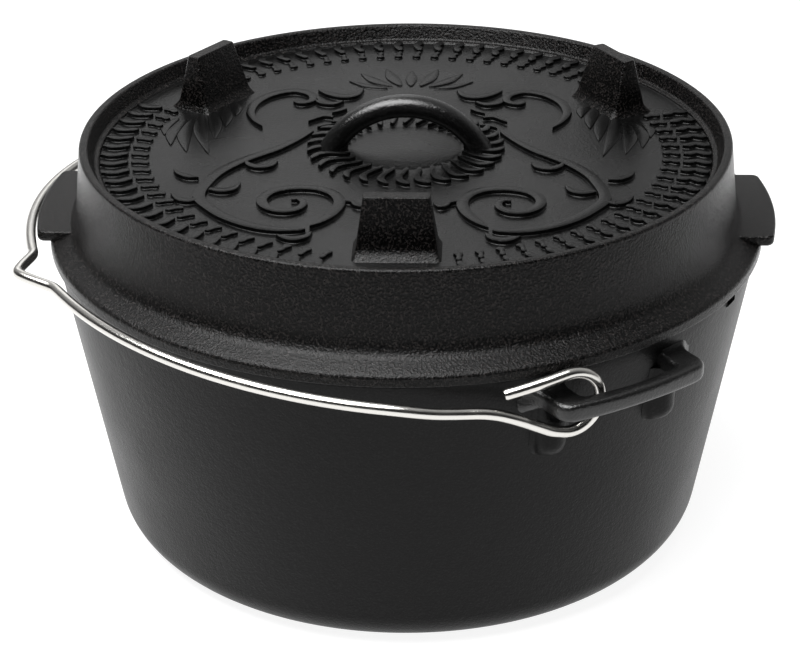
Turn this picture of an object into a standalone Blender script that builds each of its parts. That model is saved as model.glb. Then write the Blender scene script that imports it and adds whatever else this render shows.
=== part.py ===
"""A flat-bottomed camp dutch oven: cast iron pot, flanged lid with feet and a handle, and a wire bail.

Frame: the origin is the centre of the pot's flat bottom, +Z is up, and the pot's two lugs lie on +X and -X.
Lengths are metres. The lid lifts along +Z, and the bail swings about a level axis through one arm of each lug.
"""

import math

import bmesh
import bpy
from mathutils import Euler, Matrix, Vector

MM = 0.001
STEPS = 72                      # facets round each turned body

# Pot
BASE_RADIUS = 133.5 * MM        # where the wall's line would meet the floor
WALL_FLARE = 0.1737             # outward run of the wall for each unit of height
WALL = 5.6 * MM                 # wall thickness, measured level
FLOOR = 6.0 * MM                # thickness of the pot's bottom
BOTTOM_FILLET = 20.0 * MM
RIM_Z = 140.5 * MM              # top of the pot's rim
NOTCH_TURN = math.radians(28.6)
NOTCH_WIDTH = 8.5 * MM
NOTCH_DEPTH = 5.0 * MM

# Lugs
LUG_LOW = 125.7 * MM
LUG_HIGH = 133.3 * MM
LUG_OUTER = 175.5 * MM          # outer radius of the lug's bar
LUG_INNER = 168.3 * MM          # inner radius of the lug's bar
LUG_ROOT = 153.3 * MM           # radius inside the wall where the arms end
ARM_Y = 30.0 * MM               # each arm's centre line, to the side of the lug's own
ARM_WIDTH = 13.0 * MM
ARM_TURN = math.radians(10.5)   # from a lug's centre line to the middle of its arm
ROOT_FILLET = 10.0 * MM
CORNER_FILLET = 4.0 * MM
RIB_RADIUS = 7.0 * MM
RIB_OUTER = 159.7 * MM
RIB_LOW = 100.0 * MM

# Lid
GAP = 0.3 * MM                  # clearance between the rim and the lid's seat
BRIM_RADIUS = 160.0 * MM
PLATE_Z = 176.5 * MM            # top of the lid's plate
RIM_TOP_Z = 184.6 * MM          # top of the raised rim that keeps coals on the lid
SHELL = 5.2 * MM                # thickness of the lid's plate
LID_TURN = math.radians(55.5)   # the lid's grip tabs and handle, from +X
TAB_RADIUS = 165.5 * MM
TAB_HALF = 35.0 * MM
TAB_CORNER = 3.5 * MM
TAB_LOW = 145.0 * MM
TAB_HIGH = 150.0 * MM
FOOT_TURNS = tuple(math.radians(a) for a in (-90.0, 30.5, 147.5))
FOOT_TOP = 201.6 * MM
HANDLE_TOP = 201.8 * MM
HANDLE_RADIUS = 42.3 * MM       # outer radius of the handle's arch
HANDLE_THICK = 10.0 * MM
HANDLE_WIDTH = 11.5 * MM

# Bail: a point of the wire is given as (across the hinge, above it), on a cylinder about the pot's axis
WIRE = 4.8 * MM
HINGE_Z = 130.83 * MM           # height of the hinge's axis at the pot's axis
HINGE_TURN = -ARM_TURN
HINGE_DROP = math.radians(0.5)  # the right-hand eye sits lower in its lug than the left-hand one
BAIL_TILT = math.radians(5.5)   # rise of the stored bail above level
BAIL_RADIUS = 169.2 * MM
EYE_WALL = 164.3 * MM           # radius of the cylinder that the eyes are bent on
EYE_CENTRE = (-3.8 * MM, 0.0)
EYE_RADIUS = 13.2 * MM
EYE_END = (25.3 * MM, 5.5 * MM)
LEAD_OUT = ((4.0, -11.8), (9.3, -9.6), (15.0, -7.2), (21.0, -5.0), (27.0, -3.3), (33.0, -2.5),
            (39.0, -2.4), (45.0, -2.2), (52.0, -1.7), (59.0, -0.9), (66.0, -0.2))
WIDEN = (34.0 * MM, 70.0 * MM)  # stretch over which the wire leaves the eye's cylinder for the arch
PEAK_HEIGHT = 10.5 * MM         # the vee in the middle that a hook finds
PEAK_HALF = 14.5 * MM
PEAK_TURN = 0.16                # half of the stretch that holds the vee, in radians of the arch

IRON_POT = (0.018, 0.018, 0.019, 1.0)
IRON_LID = (0.015, 0.015, 0.016, 1.0)
STEEL = (0.70, 0.69, 0.67, 1.0)


def clear_scene():
    """Remove every object that the file opened with."""
    for thing in list(bpy.data.objects):
        bpy.data.objects.remove(thing, do_unlink=True)


def material(name, colour, roughness, metallic):
    """A plain surface with one colour."""
    made = bpy.data.materials.new(name)
    made.use_nodes = True
    shader = made.node_tree.nodes["Principled BSDF"]
    shader.inputs["Base Color"].default_value = colour
    shader.inputs["Roughness"].default_value = roughness
    shader.inputs["Metallic"].default_value = metallic
    return made


def mesh_object(name, vertices, edges, faces):
    """Link a new object with the given mesh into the scene."""
    mesh = bpy.data.meshes.new(name)
    mesh.from_pydata([tuple(v) for v in vertices], edges, faces)
    thing = bpy.data.objects.new(name, mesh)
    bpy.context.scene.collection.objects.link(thing)
    return thing


def arc(centre, radius, start, end, count):
    """Points on a circular arc in a plane, from one angle in degrees to another."""
    turns = [math.radians(start + (end - start) * i / (count - 1)) for i in range(count)]
    return [(centre[0] + radius * math.cos(t), centre[1] + radius * math.sin(t)) for t in turns]


def turned(name, profile):
    """Turn a profile of (radius, height) points about Z; it runs down its outer side."""
    points = [(r, 0.0, z) for r, z in profile]
    thing = mesh_object(name, points, [(i, i + 1) for i in range(len(points) - 1)], [])
    screw = thing.modifiers.new("turn", "SCREW")
    screw.axis = "Z"
    screw.steps = STEPS
    screw.render_steps = STEPS
    screw.use_merge_vertices = True
    screw.merge_threshold = 0.00001
    screw.use_smooth_shade = True
    return thing


def plate(name, outline, low, high, edge):
    """Extrude a flat outline between two heights and round its edges."""
    thing = mesh_object(name, [], [], [])
    form = bmesh.new()
    ring = [form.verts.new((x, y, low)) for x, y in outline]
    base = form.faces.new(ring)
    lifted = bmesh.ops.extrude_face_region(form, geom=[base])["geom"]
    raised = [item for item in lifted if isinstance(item, bmesh.types.BMVert)]
    bmesh.ops.translate(form, verts=raised, vec=(0.0, 0.0, high - low))
    bmesh.ops.recalc_face_normals(form, faces=form.faces)
    form.to_mesh(thing.data)
    form.free()
    rounding = thing.modifiers.new("edge", "BEVEL")
    rounding.width = edge
    rounding.segments = 2
    rounding.limit_method = "ANGLE"
    rounding.angle_limit = math.radians(50.0)
    return thing


def loft(name, rings):
    """Join rings of equal count into one closed body with flat ends."""
    count = len(rings[0])
    vertices = [point for ring in rings for point in ring]
    faces = [tuple(reversed(range(count)))]
    for level in range(len(rings) - 1):
        near, far = level * count, (level + 1) * count
        for i in range(count):
            j = (i + 1) % count
            faces.append((near + i, near + j, far + j, far + i))
    last = (len(rings) - 1) * count
    faces.append(tuple(range(last, last + count)))
    thing = mesh_object(name, vertices, [], faces)
    form = bmesh.new()
    form.from_mesh(thing.data)
    bmesh.ops.recalc_face_normals(form, faces=form.faces)
    form.to_mesh(thing.data)
    form.free()
    return thing


def join(target, tool, operation):
    """Cut the tool out of the target, or add it, and leave the tool as a guide."""
    tool.hide_render = True
    tool.display_type = "WIRE"
    step = target.modifiers.new(tool.name, "BOOLEAN")
    step.operation = operation
    step.solver = "EXACT"
    step.object = tool


def turn_copy(tool, turn):
    """Turn a guide about the pot's axis."""
    tool.matrix_world = Matrix.Rotation(turn, 4, "Z")
    return tool


def wall_radius(height):
    """Outer radius of the pot's wall at a height."""
    return BASE_RADIUS + WALL_FLARE * height


def corner_arc(radius, line_radius, floor_z, count):
    """The fillet between a level floor and the flared wall, from the wall down to the floor."""
    slope = math.atan(WALL_FLARE)
    centre_z = floor_z + radius
    on_wall = line_radius + WALL_FLARE * centre_z
    centre_r = on_wall - radius / math.cos(slope)
    return arc((centre_r, centre_z), radius, -math.degrees(slope), -90.0, count)


def pot_profile():
    """Inside of the floor, up the inner wall, over the rim and down the outer wall."""
    inner = corner_arc(BOTTOM_FILLET - 4.0 * MM, BASE_RADIUS - WALL, FLOOR, 7)
    outer = corner_arc(BOTTOM_FILLET, BASE_RADIUS, 0.0, 8)
    rim_outer = wall_radius(RIM_Z)
    rim_inner = rim_outer - WALL
    ease = 1.0 * MM
    profile = [(0.0, FLOOR)]
    profile += reversed(inner)
    profile += [(rim_inner, RIM_Z - ease), (rim_inner + ease, RIM_Z)]
    profile += [(rim_outer - ease, RIM_Z), (rim_outer, RIM_Z - ease)]
    profile += outer
    profile.append((0.0, 0.0))
    return profile


def lug_side():
    """One half of a lug's outer edge, from the middle of its bar round to its root in the wall."""
    edge_y = ARM_Y + ARM_WIDTH / 2
    wall = wall_radius((LUG_LOW + LUG_HIGH) / 2)
    corner_y = edge_y - CORNER_FILLET
    corner_x = math.sqrt((LUG_OUTER - CORNER_FILLET) ** 2 - corner_y ** 2)
    corner_from = math.degrees(math.atan2(corner_y, corner_x))
    root_y = edge_y + ROOT_FILLET
    root_x = math.sqrt((wall + ROOT_FILLET) ** 2 - root_y ** 2)
    root_to = math.degrees(math.atan2(root_y, root_x)) - 180.0
    side = arc((0.0, 0.0), LUG_OUTER, 2.4, corner_from - 1.6, 4)
    side += arc((corner_x, corner_y), CORNER_FILLET, corner_from, 90.0, 4)
    side += arc((root_x, root_y), ROOT_FILLET, -90.0, root_to, 6)
    end = math.radians(root_to + 180.0)
    side.append((LUG_ROOT * math.cos(end), LUG_ROOT * math.sin(end)))
    return side


def slot_side():
    """One half of a lug's slot, from its root in the wall out to the middle of the bar."""
    edge_y = ARM_Y - ARM_WIDTH / 2
    ease = 3.0 * MM
    corner_y = edge_y - ease
    corner_x = math.sqrt((LUG_INNER - ease) ** 2 - corner_y ** 2)
    corner_from = math.degrees(math.atan2(corner_y, corner_x))
    root = math.sqrt(LUG_ROOT ** 2 - edge_y ** 2)
    side = [(root, edge_y)]
    side += arc((corner_x, corner_y), ease, 90.0, corner_from, 4)
    side += arc((0.0, 0.0), LUG_INNER, corner_from - 1.6, 2.0, 3)
    return side


def mirrored(points):
    """The same points on the other side of the lug's centre line, in the opposite order."""
    return [(x, -y) for x, y in reversed(points)]


def lug(name, turn):
    """A lug: two arms and the bar between them, standing out from the wall."""
    outer = lug_side()
    inner = slot_side()
    outline = mirrored(outer) + outer + inner + mirrored(inner)
    return turn_copy(plate(name, outline, LUG_LOW, LUG_HIGH, 1.2 * MM), turn)


def rib(name, turn):
    """A half-round boss under one arm; its lower end is rounded off like a dome."""
    rings = []
    dome = 8.0 * MM
    heights = [RIB_LOW + dome * (1 - math.cos(math.radians(a))) for a in (20, 40, 60, 78)]
    heights += [RIB_LOW + 1.6 * dome, LUG_LOW + 1.0 * MM]
    for z in heights:
        drop = max(0.0, (RIB_LOW + dome - z) / dome)
        share = math.sqrt(1.0 - drop * drop)
        back = wall_radius(z) - 2.5 * MM
        draft = 0.02 * (z - RIB_LOW)
        reach = (RIB_OUTER - wall_radius(z)) * share + 2.5 * MM + draft
        half = RIB_RADIUS * (0.45 + 0.55 * share)
        ring = []
        for i in range(10):
            t = math.radians(-90.0 + 20.0 * i)
            ring.append((back + reach * math.cos(t), half * math.sin(t), z))
        rings.append(ring)
    return turn_copy(loft(name, rings), turn)


def notch():
    """The thermometer lead's notch across the rim."""
    half = NOTCH_WIDTH / 2
    low = RIM_Z - NOTCH_DEPTH
    inner, outer = 149.5 * MM, 162.0 * MM
    outline = [(inner, -half), (outer, -half), (outer, half), (inner, half)]
    return turn_copy(plate("notch_guide", outline, low, RIM_Z + 5.0 * MM, 1.2 * MM), NOTCH_TURN)


def build_pot(finish):
    """The pot: a turned bowl with two lugs, their ribs and a notch in the rim."""
    pot = turned("pot", pot_profile())
    for label, turn in (("right", 0.0), ("left", math.pi)):
        for side in (-1, 1):
            join(pot, rib(f"rib_guide_{label}_{side + 1}", turn + side * ARM_TURN), "UNION")
        join(pot, lug(f"lug_guide_{label}", turn), "UNION")
    join(pot, notch(), "DIFFERENCE")
    pot.data.materials.append(finish)
    return pot


def lid_profile():
    """Over the plate and the raised rim, down the wall, round the brim, and back under the plate.

    The points are listed from the underside outward and then turned round.
    """
    seat = RIM_Z + GAP
    under = PLATE_Z - SHELL
    lip_outer = wall_radius(RIM_Z) - WALL - 0.8 * MM
    profile = [(0.0, under), (131.0 * MM, under)]
    profile += reversed(arc((131.0 * MM, under - 9.0 * MM), 9.0 * MM, 8.0, 76.0, 4))
    profile += [(142.6 * MM, 152.0 * MM), (146.2 * MM, 143.5 * MM), (147.3 * MM, seat - 2.4 * MM)]
    profile += [(148.2 * MM, seat - 3.0 * MM), (lip_outer - 0.8 * MM, seat - 3.0 * MM)]
    profile += [(lip_outer, seat - 2.2 * MM), (lip_outer, seat)]
    profile += [(BRIM_RADIUS - 0.8 * MM, seat), (BRIM_RADIUS, seat + 0.8 * MM)]
    profile += [(BRIM_RADIUS, 143.9 * MM), (159.5 * MM, 145.4 * MM), (158.2 * MM, 146.2 * MM)]
    profile += [(151.6 * MM, 149.2 * MM), (149.6 * MM, 150.9 * MM)]
    profile += [(148.2 * MM, 153.6 * MM), (147.4 * MM, 158.5 * MM)]
    profile += [(144.9 * MM, RIM_TOP_Z - 1.2 * MM), (144.0 * MM, RIM_TOP_Z)]
    profile += [(141.2 * MM, RIM_TOP_Z), (140.2 * MM, RIM_TOP_Z - 0.9 * MM)]
    profile += [(137.4 * MM, PLATE_Z + 1.2 * MM), (136.6 * MM, PLATE_Z)]
    profile += [(25.6 * MM, PLATE_Z), (24.6 * MM, PLATE_Z + 0.9 * MM)]
    profile += [(14.0 * MM, PLATE_Z + 1.4 * MM), (0.0, PLATE_Z + 1.6 * MM)]
    return profile[::-1]


def grip_tab(name, turn):
    """A grip tab: a flat ledge on the brim, parallel-sided, with its end on a circle."""
    corner_y = TAB_HALF - TAB_CORNER
    corner_x = math.sqrt((TAB_RADIUS - TAB_CORNER) ** 2 - corner_y ** 2)
    corner_from = math.degrees(math.atan2(corner_y, corner_x))
    half = arc((0.0, 0.0), TAB_RADIUS, 1.3, corner_from - 1.3, 5)
    half += arc((corner_x, corner_y), TAB_CORNER, corner_from, 90.0, 4)
    half.append((142.3 * MM, TAB_HALF))
    return turn_copy(plate(name, mirrored(half) + half, TAB_LOW, TAB_HIGH, 1.0 * MM), turn)


def rounded_box(inner, outer, half, ease, z):
    """A level ring: a rectangle from one radius to another, with rounded corners."""
    corners = ((outer - ease, half - ease, 0.0), (inner + ease, half - ease, 90.0),
               (inner + ease, ease - half, 180.0), (outer - ease, ease - half, 270.0))
    ring = []
    for x, y, start in corners:
        ring += [(px, py, z) for px, py in arc((x, y), ease, start, start + 90.0, 3)]
    return ring


def foot(name, turn):
    """A foot: a slab that narrows upward, with a flared skirt where it meets the plate."""
    levels = ((-0.8, 97.6, 121.0, 18.9, 2.6), (0.5, 98.6, 119.8, 18.0, 2.2),
              (1.8, 99.6, 118.3, 17.2, 1.8), (4.5, 100.6, 116.8, 16.5, 1.6))
    rings = []
    for rise, inner, outer, half, ease in levels:
        rings.append(rounded_box(inner * MM, outer * MM, half * MM, ease * MM, PLATE_Z + rise * MM))
    rings.append(rounded_box(106.9 * MM, 112.7 * MM, 13.3 * MM, 1.2 * MM, FOOT_TOP - 0.8 * MM))
    rings.append(rounded_box(107.7 * MM, 112.0 * MM, 12.6 * MM, 1.0 * MM, FOOT_TOP))
    return turn_copy(loft(name, rings), turn)


def handle():
    """The handle: a nearly round bar along an arc, a little thicker where its ends meet the plate."""
    centre_z = HANDLE_TOP - HANDLE_RADIUS
    sides = 12
    rings = []
    for step in range(23):
        turn = math.radians(22.8 + 134.4 * step / 22)
        rise = centre_z + HANDLE_RADIUS * math.sin(turn) - PLATE_Z
        flare = max(0.0, 1.0 - max(rise, 0.0) / (9.0 * MM)) ** 2
        half = HANDLE_WIDTH / 2 + 1.0 * MM * flare
        thick = HANDLE_THICK / 2 + 0.6 * MM * flare
        middle = HANDLE_RADIUS - HANDLE_THICK / 2
        ring = []
        for i in range(sides):
            t = 2 * math.pi * (i + 0.5) / sides
            across = half * math.copysign(abs(math.cos(t)) ** 0.9, math.cos(t))
            out = middle + thick * math.copysign(abs(math.sin(t)) ** 0.9, math.sin(t))
            ring.append((out * math.cos(turn), across, centre_z + out * math.sin(turn)))
        rings.append(ring)
    return turn_copy(loft("handle_guide", rings), LID_TURN)


def build_lid(finish):
    """The lid: a turned cover with a lip, brim and raised rim, its tabs, feet and handle."""
    lid = turned("lid", lid_profile())
    for label, turn in (("front", 0.0), ("back", math.pi)):
        join(lid, grip_tab(f"tab_guide_{label}", LID_TURN + turn), "UNION")
    for number, turn in enumerate(FOOT_TURNS):
        join(lid, foot(f"foot_guide_{number}", LID_TURN + turn), "UNION")
    join(lid, handle(), "UNION")
    lid.data.materials.append(finish)
    return lid


def on_eye_wall(across, up, radius):
    """A point of the wire: it keeps to a cylinder of the given radius while it crosses the hinge."""
    return Vector((math.sqrt(radius ** 2 - across ** 2), across, up))


def wall_at(across):
    """Radius of the wire's cylinder, which grows smoothly from the eye's to the arch's."""
    share = (across - WIDEN[0]) / (WIDEN[1] - WIDEN[0])
    share = min(max(share, 0.0), 1.0)
    return EYE_WALL + (BAIL_RADIUS - EYE_WALL) * share * share * (3.0 - 2.0 * share)


def eye_route():
    """From the wire's free end round one eye and out towards the arch."""
    reach = Vector(EYE_END) - Vector(EYE_CENTRE)
    start = math.atan2(reach.y, reach.x) + math.acos(EYE_RADIUS / reach.length)
    loop = arc(EYE_CENTRE, EYE_RADIUS, math.degrees(start), 285.0, 19)
    leg = [tuple(EYE_END[k] + (loop[0][k] - EYE_END[k]) * s for k in (0, 1)) for s in (0.0, 0.3, 0.7)]
    lead = [(across * MM, up * MM) for across, up in LEAD_OUT]
    return [on_eye_wall(across, up, wall_at(across)) for across, up in leg + loop + lead]


def peak(along):
    """How far the wire stands out beyond its arch: a vee with a rounded tip and rounded corners."""
    tip_ease = 3.5 * MM
    corner_ease = 0.16
    left = 1.0 - (math.hypot(along, tip_ease) - tip_ease) / PEAK_HALF
    return PEAK_HEIGHT * 0.5 * (left + math.hypot(left, corner_ease))


def bail_route():
    """The whole wire, from one free end to the other, in the bail's own plane."""
    one_end = eye_route()
    first = math.asin(LEAD_OUT[-1][0] * MM / BAIL_RADIUS) + 0.035
    peak_turn = math.pi / 2 - PEAK_TURN
    turns = [first + (peak_turn - first) * i / 18 for i in range(19)]
    turns += [peak_turn + PEAK_TURN * i / 14 for i in range(1, 14)]
    for turn in turns:
        along = BAIL_RADIUS * math.cos(turn)
        one_end.append(Vector((along, BAIL_RADIUS * math.sin(turn) + peak(along), 0.0)))
    middle = [Vector((0.0, BAIL_RADIUS + peak(0.0), 0.0))]
    other_end = [Vector((-p.x, p.y, p.z)) for p in reversed(one_end)]
    return one_end + middle + other_end


def build_bail(finish):
    """The bail: one bent wire with an open eye at each end, its origin on the hinge's axis."""
    curve = bpy.data.curves.new("bail", "CURVE")
    curve.dimensions = "3D"
    curve.bevel_depth = WIRE / 2
    curve.bevel_resolution = 3
    curve.use_fill_caps = True
    route = bail_route()
    spline = curve.splines.new("POLY")
    spline.points.add(len(route) - 1)
    for point, place in zip(spline.points, route):
        point.co = (place.x, -place.y, place.z, 1.0)
    bail = bpy.data.objects.new("bail", curve)
    bpy.context.scene.collection.objects.link(bail)
    bail.location = (0.0, 0.0, HINGE_Z)
    bail.rotation_euler = Euler((-BAIL_TILT, HINGE_DROP, HINGE_TURN), "XYZ")
    curve.materials.append(finish)
    return bail


def main():
    """Build the pot, the lid and the bail."""
    clear_scene()
    build_pot(material("seasoned_iron_pot", IRON_POT, 0.5, 0.0))
    build_lid(material("seasoned_iron_lid", IRON_LID, 0.55, 0.0))
    build_bail(material("stainless_wire", STEEL, 0.28, 1.0))


main()
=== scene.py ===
"""The finished look of a flat-bottomed camp dutch oven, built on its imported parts.

Every length is in metres and +Z is up. The pot's two lugs lie on +X and -X. The lid's own
directions are turned about Z: its handle runs along its own X, its front foot lies on its own -Y.
"""

import logging
import math
from dataclasses import dataclass
from enum import Enum
from typing import Any

import bmesh
import bpy
import numpy as np
from mathutils import Euler, Matrix, Vector


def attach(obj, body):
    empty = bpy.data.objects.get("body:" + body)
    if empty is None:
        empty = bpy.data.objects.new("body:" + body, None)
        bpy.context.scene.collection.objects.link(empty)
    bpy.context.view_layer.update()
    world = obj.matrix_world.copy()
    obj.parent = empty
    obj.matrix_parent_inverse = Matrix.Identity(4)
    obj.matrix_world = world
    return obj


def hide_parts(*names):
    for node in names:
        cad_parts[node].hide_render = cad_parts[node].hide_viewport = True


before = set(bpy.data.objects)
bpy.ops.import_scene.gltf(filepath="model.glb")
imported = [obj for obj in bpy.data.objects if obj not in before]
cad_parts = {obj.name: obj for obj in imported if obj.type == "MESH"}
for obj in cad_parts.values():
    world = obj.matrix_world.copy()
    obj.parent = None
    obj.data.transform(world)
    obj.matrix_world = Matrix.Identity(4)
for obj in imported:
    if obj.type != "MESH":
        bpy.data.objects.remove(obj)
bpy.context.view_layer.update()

MM = 0.001
FULL_TURN = 2 * math.pi
SHARP_ANGLE = math.radians(48.0)
WELD = 1e-6
# a rounded corner takes at most this share of each of its legs
LEG_SHARE = 0.48
# a smooth path is first worked out at this many points for each one kept
FINE_STEPS = 12
WALL_FOOT_RADIUS = 133.5 * MM
WALL_FLARE = 0.1737
WALL_THICK = 5.6 * MM
RIM_Z = 140.5 * MM
PLATE_Z = 176.5 * MM
LID_TURN = math.radians(55.5)
# the border leaves out its copies within this angle of a foot
FOOT_CLEAR = math.radians(10.0)
# a noise texture's value lies almost wholly in this range
NOISE_RANGE = {"From Min": 0.3, "From Max": 0.7}

log = logging.getLogger("dutch_oven")


class Body(Enum):
    """The moving bodies that a piece can ride on."""

    POT = "pot"
    LID = "lid"
    BAIL = "bail"


class Slot(Enum):
    """The record's material slots."""

    POT_IRON = "pot_iron"
    LID_IRON = "lid_iron"
    BAIL_STEEL = "bail_steel"


# ---------------------------------------------------------------- shapes


def wall_radius(height: float | np.ndarray) -> float | np.ndarray:
    """Outer radius of the pot's wall: its foot's radius plus the flare times the height."""
    return WALL_FOOT_RADIUS + WALL_FLARE * height


def unit(vectors: np.ndarray) -> np.ndarray:
    """Vectors along the last axis, each divided by its length."""
    return vectors / np.linalg.norm(vectors, axis=-1, keepdims=True)


def quarter(count: int) -> np.ndarray:
    """Angles in radians from zero to a right angle."""
    return np.radians(np.linspace(0.0, 90.0, count))


def all_round(count: int) -> np.ndarray:
    """Angles in radians all round, with no angle given twice."""
    return np.linspace(0.0, FULL_TURN, count + 1)[:-1]


def circle_part(centre: tuple[float, float], radius: float, start: float, end: float,
                count: int) -> np.ndarray:
    """Points on a circle, from one angle in degrees to another."""
    turn = np.radians(np.linspace(start, end, count))
    return np.column_stack([centre[0] + radius * np.cos(turn), centre[1] + radius * np.sin(turn)])


def at_levels(flat: np.ndarray, level: np.ndarray) -> np.ndarray:
    """Rings of x and y, each raised to its own height."""
    height = np.broadcast_to(level[:, None, None], (*flat.shape[:2], 1))
    return np.concatenate([flat, height], axis=-1)


def arc_to_corner(radius: float, half: float, ease: float, count: int,
                  corner_count: int) -> np.ndarray:
    """An arc about the origin from +X round to a rounded corner, which ends facing +Y.

    Args:
        radius: of the arc.
        half: y at the corner's end.
        ease: the corner's radius.
        count: number of points on the arc.
        corner_count: number of points on the corner.

    Returns:
        Rows of x and y.
    """
    y = half - ease
    x = math.sqrt((radius - ease) ** 2 - y ** 2)
    turn = math.degrees(math.atan2(y, x))
    corner = circle_part((x, y), ease, turn, 90.0, corner_count)
    return np.vstack([circle_part((0.0, 0.0), radius, 0.0, turn, count), corner[1:]])


def turn_about_z(points: np.ndarray, turn: float) -> np.ndarray:
    """Points whose last axis is x, y, z, turned about Z by an angle in radians."""
    c, s = math.cos(turn), math.sin(turn)
    return points @ np.array([[c, s, 0.0], [-s, c, 0.0], [0.0, 0.0, 1.0]])


def eased(corners: np.ndarray, steps: int = 6) -> np.ndarray:
    """Round the corners of a profile.

    A corner becomes the parabola that touches both of its legs at the given distance from it:
    (1-s)^2 A + 2s(1-s) P + s^2 B, with A and B on the legs and P the corner.

    Args:
        corners: rows of first coordinate, second coordinate and rounding distance.
        steps: points on each parabola.

    Returns:
        The rounded profile as rows of two coordinates, with both ends kept.
    """
    place, ease = corners[:, :2], corners[1:-1, 2:3]
    corner = place[1:-1]
    before, after = place[:-2] - corner, place[2:] - corner
    legs = [np.linalg.norm(leg, axis=1, keepdims=True) for leg in (before, after)]
    reach = np.minimum(ease, LEG_SHARE * np.minimum(*legs))
    start = (corner + unit(before) * reach)[:, None]
    end = (corner + unit(after) * reach)[:, None]
    s = np.linspace(0.0, 1.0, steps)[None, :, None]
    curve = (1 - s) ** 2 * start + 2 * s * (1 - s) * corner[:, None] + s ** 2 * end
    return np.vstack([place[:1], curve.reshape(-1, 2), place[-1:]])


def run_length(points: np.ndarray) -> np.ndarray:
    """Length along a line from its first point to each point."""
    return np.append(0.0, np.cumsum(np.linalg.norm(np.diff(points, axis=0), axis=1)))


def evenly(points: np.ndarray, count: int, measured: int = 2) -> np.ndarray:
    """Space a line's points evenly by length.

    Args:
        points: rows of coordinates, to which further columns may be added.
        count: number of points returned.
        measured: how many of the columns are places, over which the length is measured.

    Returns:
        The line, with the same columns.
    """
    run = run_length(points[:, :measured])
    at = np.linspace(0.0, run[-1], count)
    return np.column_stack([np.interp(at, run, column) for column in points.T])


def smooth_path(points: np.ndarray, count: int, measured: int = 2) -> np.ndarray:
    """Run a smooth curve through points, evenly spaced.

    Each stretch is the cubic whose slope at a point is half the chord between its two neighbours
    (Catmull-Rom).

    Args:
        points: rows of coordinates, to which further columns, such as a width, may be added.
        count: number of points returned.
        measured: how many of the columns are places, over which the length is measured.

    Returns:
        The curve, with the same columns.
    """
    knots = np.vstack([2 * points[0] - points[1], points, 2 * points[-1] - points[-2]])
    t = np.linspace(0.0, len(points) - 1.0, FINE_STEPS * count)
    cell = np.minimum(t.astype(int), len(points) - 2)
    u = (t - cell)[:, None]
    a, b, c, d = (knots[cell + k] for k in range(4))
    fine = 0.5 * (2 * b + (c - a) * u + (2 * a - 5 * b + 4 * c - d) * u ** 2
                  + (3 * b - a - 3 * c + d) * u ** 3)
    return evenly(fine, count, measured)


class Solid:
    """Closed surfaces gathered into one mesh.

    Each surface is a grid of points. Where a row or column of the grid falls on one point, it
    closes there, so a pole or a cap is a row of equal points.
    """

    def __init__(self, name: str) -> None:
        """Start an empty solid with the piece's name."""
        self.name = name
        self.points: list[np.ndarray] = []
        self.faces: list[np.ndarray] = []
        self.count = 0

    def add_grid(self, grid: np.ndarray) -> None:
        """Add a surface whose columns wrap round.

        The faces are turned outward by the sign of the volume, which is the sum of a . (b x c)
        over the triangles, divided by six.

        Args:
            grid: array of rows by columns by three.
        """
        rows, columns = grid.shape[:2]
        index = np.arange(rows * columns).reshape(rows, columns)
        index = np.hstack([index, index[:, :1]])
        quads = np.stack([index[:-1, :-1], index[1:, :-1], index[1:, 1:], index[:-1, 1:]], axis=-1)
        quads = quads.reshape(-1, 4)
        flat = grid.reshape(-1, 3)
        a, b, c, d = (flat[quads[:, k]] - flat.mean(axis=0) for k in range(4))
        if np.einsum("ij,ij->", a, np.cross(b, c) + np.cross(c, d)) < 0.0:
            quads = quads[:, ::-1]
        self.points.append(flat)
        self.faces.append(quads + self.count)
        self.count += len(flat)

    def add_tube(self, rings: np.ndarray) -> None:
        """Add a surface through closed rings, and close both ends at their middles.

        Args:
            rings: array of rings by points by three.
        """
        first, last = (np.broadcast_to(ring.mean(axis=1, keepdims=True), ring.shape)
                       for ring in (rings[:1], rings[-1:]))
        self.add_grid(np.concatenate([first, rings, last]))

    def make(self, route: np.ndarray | None = None) -> bpy.types.Object:
        """Make the object, with its doubled points merged and its edges kept crisp.

        Args:
            route: three numbers for each point, kept as the attribute "route" for a pattern that
                follows the surface.

        Returns:
            The new object, at the origin.
        """
        points = np.vstack(self.points)
        faces = np.vstack(self.faces)
        mesh = bpy.data.meshes.new(self.name)
        mesh.vertices.add(len(points))
        mesh.vertices.foreach_set("co", points.astype(np.float32).ravel())
        mesh.loops.add(faces.size)
        mesh.loops.foreach_set("vertex_index", faces.astype(np.int32).ravel())
        mesh.polygons.add(len(faces))
        mesh.polygons.foreach_set("loop_start", np.arange(0, faces.size, 4, dtype=np.int32))
        mesh.update(calc_edges=True)
        if route is not None:
            kept = mesh.attributes.new("route", "FLOAT_VECTOR", "POINT")
            kept.data.foreach_set("vector", route.astype(np.float32).ravel())
        form = bmesh.new()
        form.from_mesh(mesh)
        bmesh.ops.remove_doubles(form, verts=form.verts, dist=WELD)
        form.to_mesh(mesh)
        form.free()
        mesh.validate()
        mesh.shade_smooth()
        mesh.set_sharp_from_angle(angle=SHARP_ANGLE)
        thing = bpy.data.objects.new(self.name, mesh)
        bpy.context.scene.collection.objects.link(thing)
        return thing


def finish_piece(piece: bpy.types.Object, body: Body, slot: Slot,
                 *finishes: bpy.types.Material) -> None:
    """Dress a piece, give it its body, and report it.

    Args:
        piece: the object.
        body: the body that it rides on.
        slot: the record's slot for its finish; not used.
        *finishes: its materials, in the order of its faces' material numbers.
    """
    for finish in finishes:
        piece.data.materials.append(finish)
    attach(piece, body.value)
    log.info("%s rides on %s, %d faces", piece.name, body.value, len(piece.data.polygons))


# ---------------------------------------------------------------- finishes


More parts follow.
